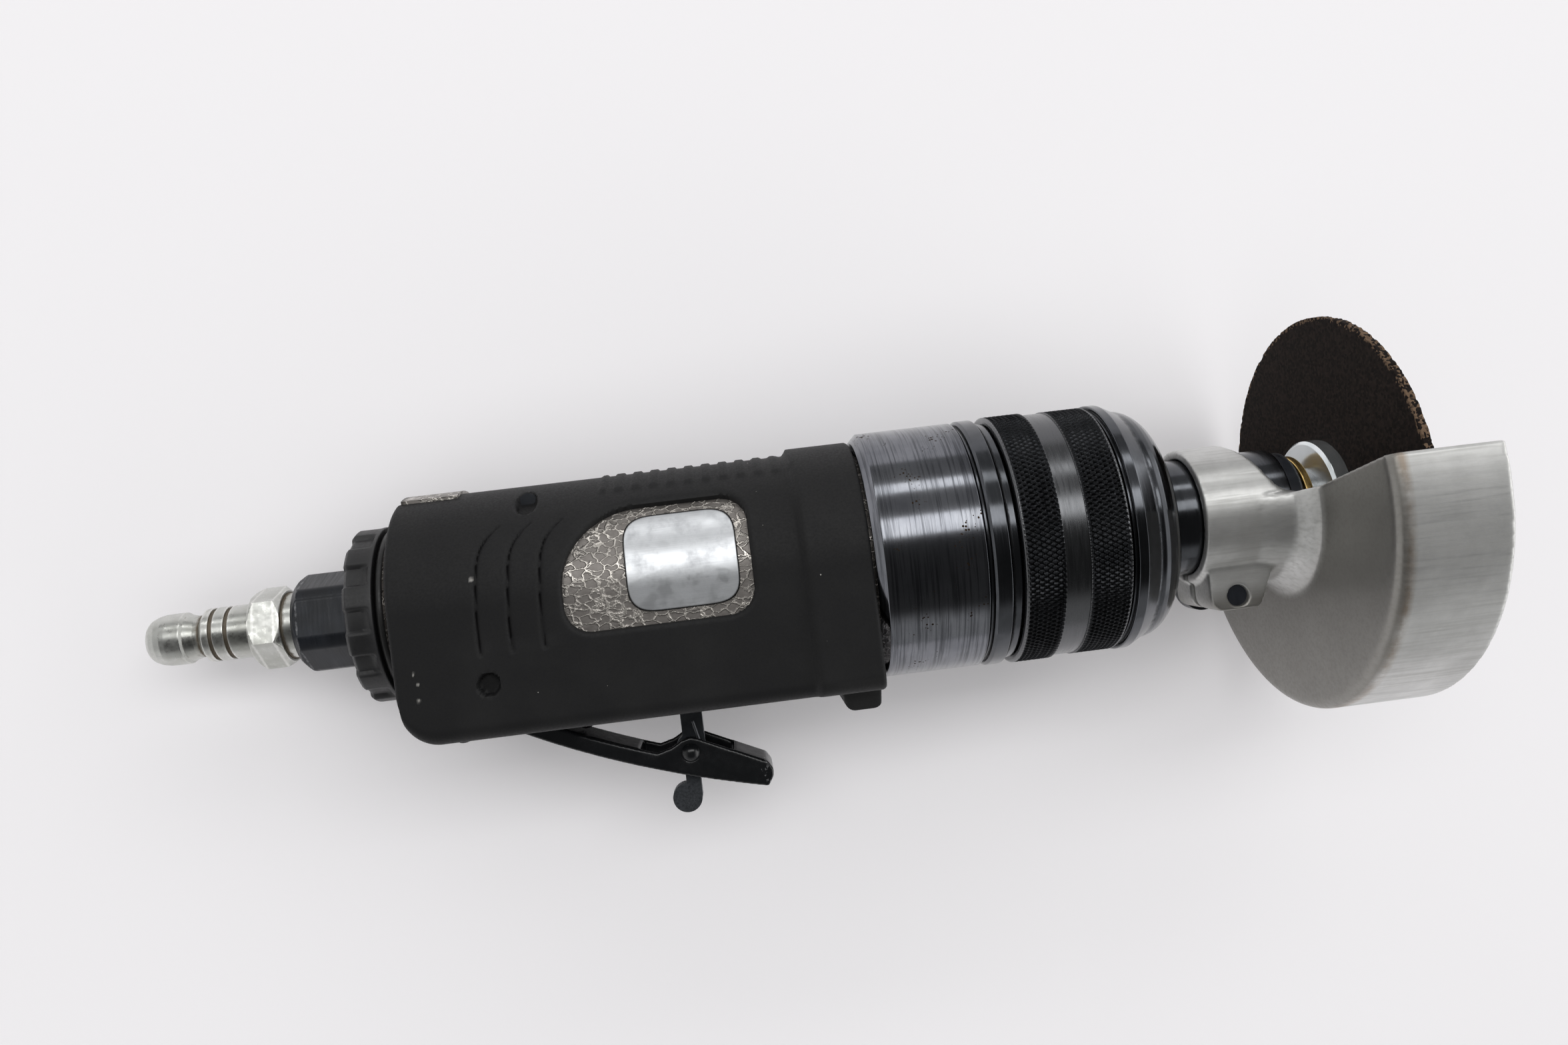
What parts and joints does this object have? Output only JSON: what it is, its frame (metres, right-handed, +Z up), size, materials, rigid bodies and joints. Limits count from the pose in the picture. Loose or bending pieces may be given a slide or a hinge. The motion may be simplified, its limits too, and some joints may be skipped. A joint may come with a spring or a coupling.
{
  "type": "pneumatic cut off tool",
  "caption": "In-line air cut off tool with a rubber sleeved handle, lever throttle with safety latch, knurled lock collar, abrasive wheel on a spindle neck and a turning half guard.",
  "frame": {"origin": "centre of the box on the bench that the tool lies on", "axes": "+X from the air inlet to the wheel along the bench, +Z up, lever on the -Y side; the tool lies on its flank with the wheel end raised by the guard"},
  "size_m": [0.2564, 0.0856, 0.087],
  "materials": {
    "plated_steel": "bright zinc and nickel plate, lightly scuffed",
    "black_steel": "black oxide steel, worn at the edges",
    "black_plastic": "moulded black plastic",
    "seal_rubber": "black seal rubber",
    "hammered_aluminium": "hammered grey-brown paint on cast aluminium",
    "grip_rubber": "matt black moulded rubber",
    "plate_aluminium": "brushed aluminium, bare",
    "brass": "turned brass",
    "bright_steel": "ground steel",
    "lever_paint": "semi-gloss black paint, worn to metal at the tip",
    "latch_steel": "dark blasted steel",
    "motor_iron": "ground cast iron",
    "vane_composite": "brown resin and cloth laminate",
    "polished_steel": "polished blued steel, scratched",
    "wheel_abrasive": "dark brown resin bonded abrasive",
    "cast_aluminium": "cast aluminium, machined skirt"
  },
  "bodies": {
    "handle": {"air_plug": "plated_steel", "inlet_bushing": "black_steel", "inlet_screen": "plated_steel", "collar_seal": "seal_rubber", "handle_housing": "hammered_aluminium", "grip_sleeve": "grip_rubber", "rating_plate": "plate_aluminium", "lever_pin": "black_steel", "plug_pin": "black_steel", "valve_plug": "brass", "valve_bushing": "brass", "valve_spring": "bright_steel", "motor_rear_plate": "motor_iron", "motor_cylinder": "motor_iron", "motor_front_plate": "motor_iron", "motor_spacer": "bright_steel", "motor_outer_races": "bright_steel", "clamp_nut": "polished_steel", "head_ring": "black_steel", "head_carrier": "bright_steel", "nose_piece": "black_steel", "spindle_housing": "black_steel", "spindle_outer_races": "bright_steel", "end_cap": "black_steel"},
    "collar": {"exhaust_collar": "black_plastic"},
    "lever": {"throttle_lever": "lever_paint", "latch_pin": "black_steel", "latch_spring": "latch_steel"},
    "latch": {"safety_latch": "latch_steel"},
    "valve": {"valve_stem": "bright_steel", "valve_seal": "seal_rubber"},
    "lock_ring": {"lock_collar": "black_steel"},
    "wheel": {"rotor": "bright_steel", "vanes": "vane_composite", "motor_inner_races": "bright_steel", "drive_coupling": "bright_steel", "spindle_inner_races": "bright_steel", "spindle": "bright_steel", "brass_ring": "brass", "inner_flange": "plated_steel", "cutting_wheel": "wheel_abrasive", "outer_flange": "plated_steel", "arbor_screw": "black_steel"},
    "balls": {"bearing_balls": "bright_steel"},
    "guard": {"wheel_guard": "cast_aluminium", "clamp_screw": "black_steel"}
  },
  "joints": [
    {"name": "wheel_spin", "type": "hinge", "parent": "handle", "child": "wheel", "pos_m": [0.0642, 0.0047, 0.03791], "axis": [0.9937, 0, 0.1121], "continuous": true},
    {"name": "ball_roll", "type": "hinge", "parent": "handle", "child": "balls", "pos_m": [0.0642, 0.0047, 0.03791], "axis": [0.9937, 0, 0.1121], "continuous": true},
    {"name": "throttle_lever", "type": "hinge", "parent": "handle", "child": "lever", "pos_m": [-0.05842, -0.0095, 0.02408], "axis": [-0.1121, 0, 0.9937], "range_deg": [0, 8], "stiffness_Nm_per_rad": 2},
    {"name": "safety_latch", "type": "hinge", "parent": "lever", "child": "latch", "pos_m": [-0.02444, -0.03, 0.02791], "axis": [-0.1121, 0, 0.9937], "range_deg": [0, 36]},
    {"name": "throttle_valve", "type": "slide", "parent": "handle", "child": "valve", "axis": [0, 1, 0], "range_m": [0, 0.00265], "deforming": ["valve_spring"]},
    {"name": "exhaust_collar", "type": "hinge", "parent": "handle", "child": "collar", "pos_m": [-0.08188, 0.0047, 0.02143], "axis": [0.9937, 0, 0.1121], "continuous": true},
    {"name": "lock_collar", "type": "hinge", "parent": "handle", "child": "lock_ring", "pos_m": [0.05426, 0.0047, 0.03679], "axis": [0.9937, 0, 0.1121], "range_deg": [0, 90]},
    {"name": "guard_swivel", "type": "hinge", "parent": "handle", "child": "guard", "pos_m": [0.09401, 0.0047, 0.04128], "axis": [0.9937, 0, 0.1121], "continuous": true}
  ],
  "couplings": [
    {"joint": "ball_roll", "follows": "wheel_spin", "ratio": 0.38889},
    {"joint": "safety_latch", "follows": "throttle_lever", "ratio": 4.5},
    {"joint": "throttle_valve", "follows": "throttle_lever", "m_per_rad": 0.019}
  ]
}
